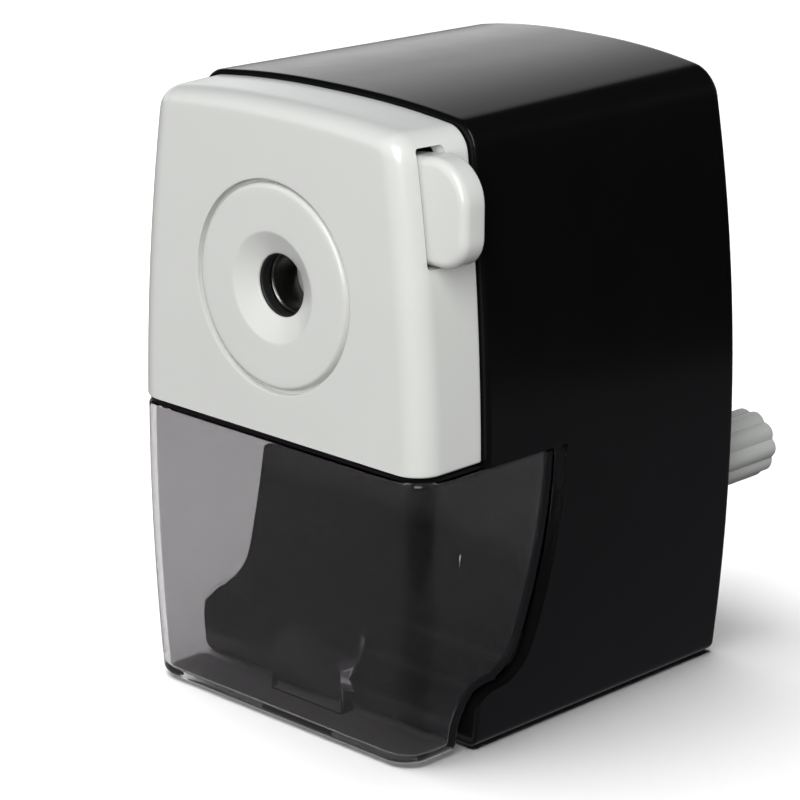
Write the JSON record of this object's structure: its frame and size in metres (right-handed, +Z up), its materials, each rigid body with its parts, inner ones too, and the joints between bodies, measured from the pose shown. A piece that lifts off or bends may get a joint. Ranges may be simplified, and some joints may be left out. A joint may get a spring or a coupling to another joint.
{
  "type": "crank pencil sharpener",
  "caption": "Desk pencil sharpener: barrel-shaped shell, dished pencil hole, side release button, smoked pull-out drawer, rear crank turning a helical cutter.",
  "frame": {"origin": "centre of the shell's footprint, on the table, under the anti-slip pad", "axes": "+Z up, front with the pencil hole towards -Y, +X to the right seen from the front, crank at +Y"},
  "size_m": [0.0693, 0.0941, 0.1004],
  "materials": {
    "black_gloss": "glossy black moulded ABS",
    "black_matte": "black moulded plastic",
    "light_grey_gloss": "glossy warm light grey ABS",
    "mid_grey_plastic": "satin mid grey plastic",
    "smoked_clear": "smoked transparent polystyrene",
    "steel": "plated steel",
    "cutter_steel": "hardened ground steel",
    "white_nylon": "natural nylon",
    "rubber": "black anti-slip rubber"
  },
  "bodies": {
    "body": {"housing": "black_gloss", "base_plate": "black_matte", "base_pad": "rubber", "base_screw_1": "steel", "base_screw_2": "steel", "front_cover": "light_grey_gloss", "chassis": "black_matte", "chassis_screw_1": "steel", "chassis_screw_2": "steel", "chassis_screw_3": "steel", "chassis_screw_4": "steel", "cover_screw_1": "steel", "cover_screw_2": "steel", "cover_screw_3": "steel", "ring_gear": "white_nylon", "hole_bush": "black_matte", "guide_tube": "steel", "clamp_plate": "black_matte", "rear_bush": "black_matte", "button_spring": "steel"},
    "crank": {"cutter_carrier": "black_matte", "cutter_pin": "steel", "crank_shaft": "steel", "crank_arm": "mid_grey_plastic", "crank_washer": "steel", "crank_screw": "steel", "knob_pin": "steel"},
    "cutter": {"helical_cutter": "cutter_steel", "cutter_pinion": "white_nylon"},
    "knob": {"crank_knob": "mid_grey_plastic"},
    "drawer": {"drawer": "smoked_clear"},
    "button": {"release_button": "light_grey_gloss"},
    "jaw_left": {"jaw_left": "mid_grey_plastic"},
    "jaw_right": {"jaw_right": "mid_grey_plastic"}
  },
  "joints": [
    {"name": "crank_spin", "type": "hinge", "parent": "body", "child": "crank", "pos_m": [0, 0, 0.071], "axis": [0, 1, 0], "continuous": true},
    {"name": "cutter_spin", "type": "hinge", "parent": "crank", "child": "cutter", "pos_m": [-0.00866, -0.0166, 0.076], "axis": [0.1727, 0.9799, -0.0997], "continuous": true},
    {"name": "knob_spin", "type": "hinge", "parent": "crank", "child": "knob", "pos_m": [0.0191, 0.05, 0.02915], "axis": [0, 1, 0], "continuous": true},
    {"name": "drawer_slide", "type": "slide", "parent": "body", "child": "drawer", "axis": [0, -1, 0], "range_m": [0, 0.03]},
    {"name": "button_press", "type": "slide", "parent": "body", "child": "button", "axis": [-1, 0, 0], "range_m": [0, 0.004], "stiffness_N_per_m": 400, "springref_m": -0.003, "deforming": ["button_spring"]},
    {"name": "jaw_left_slide", "type": "slide", "parent": "body", "child": "jaw_left", "axis": [-1, 0, 0], "range_m": [0, 0.0017]},
    {"name": "jaw_right_slide", "type": "slide", "parent": "body", "child": "jaw_right", "axis": [1, 0, 0], "range_m": [0, 0.0017]}
  ],
  "couplings": [
    {"joint": "cutter_spin", "follows": "crank_spin", "ratio": -3},
    {"joint": "jaw_left_slide", "follows": "button_press", "ratio": 0.4},
    {"joint": "jaw_right_slide", "follows": "button_press", "ratio": 0.4}
  ]
}
